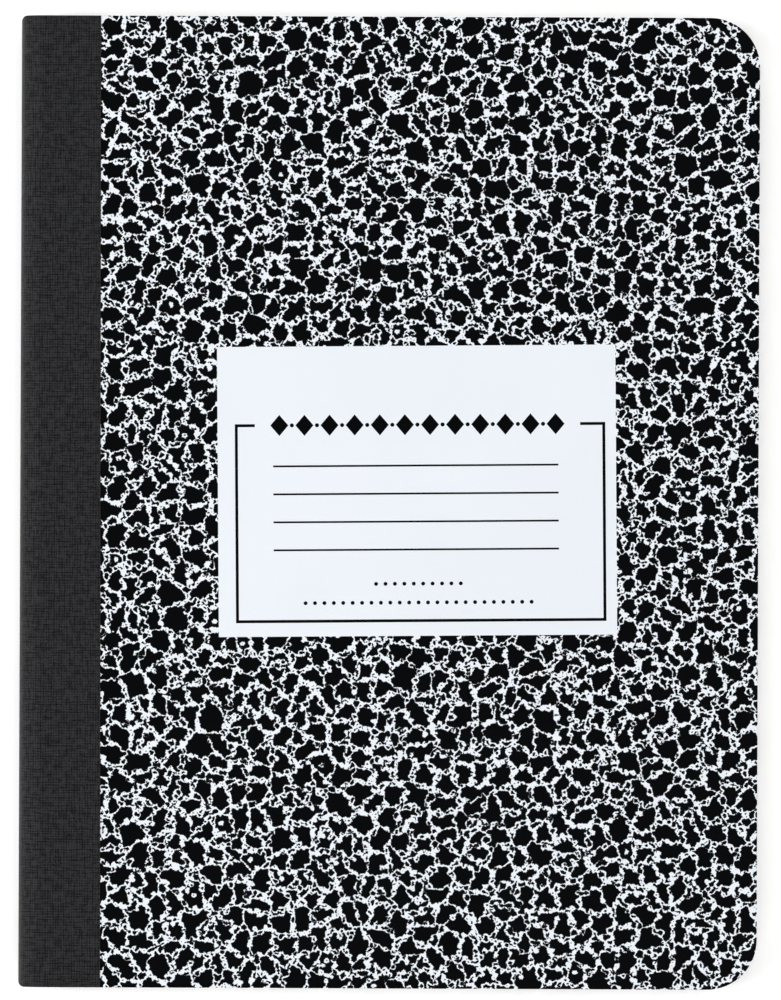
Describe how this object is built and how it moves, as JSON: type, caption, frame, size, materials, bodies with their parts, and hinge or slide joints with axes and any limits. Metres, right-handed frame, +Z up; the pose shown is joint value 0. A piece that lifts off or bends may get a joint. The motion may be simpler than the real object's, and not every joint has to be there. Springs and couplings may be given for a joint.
{
  "type": "composition notebook",
  "caption": "Sewn composition notebook with marbled board covers, a round cloth-taped spine, ruled leaves and rounded fore-edge corners; both covers open.",
  "frame": {"origin": "centre of the closed book's bounding box, on the surface that it lies on", "axes": "+X from the spine to the fore edge, +Y to the head, +Z up out of the front cover"},
  "size_m": [0.1882, 0.2476, 0.0114],
  "materials": {
    "paper": "matte",
    "thread": "matte",
    "marbled_board": "satin",
    "cloth_tape": "satin"
  },
  "bodies": {
    "book_block": {"page_block": "paper", "sewing_thread": "thread", "cover_spine": "marbled_board", "spine_tape_middle": "cloth_tape"},
    "front_board": {"front_cover": "marbled_board", "spine_tape_front": "cloth_tape"},
    "back_board": {"back_cover": "marbled_board", "spine_tape_back": "cloth_tape"}
  },
  "joints": [
    {"name": "front_cover_hinge", "type": "hinge", "parent": "book_block", "child": "front_board", "pos_m": [-0.08845, 0, 0.0114], "axis": [0, -1, 0], "range_deg": [0, 179.9]},
    {"name": "back_cover_hinge", "type": "hinge", "parent": "book_block", "child": "back_board", "pos_m": [-0.08845, 0, 0], "axis": [0, 1, 0], "range_deg": [0, 179.9]}
  ]
}
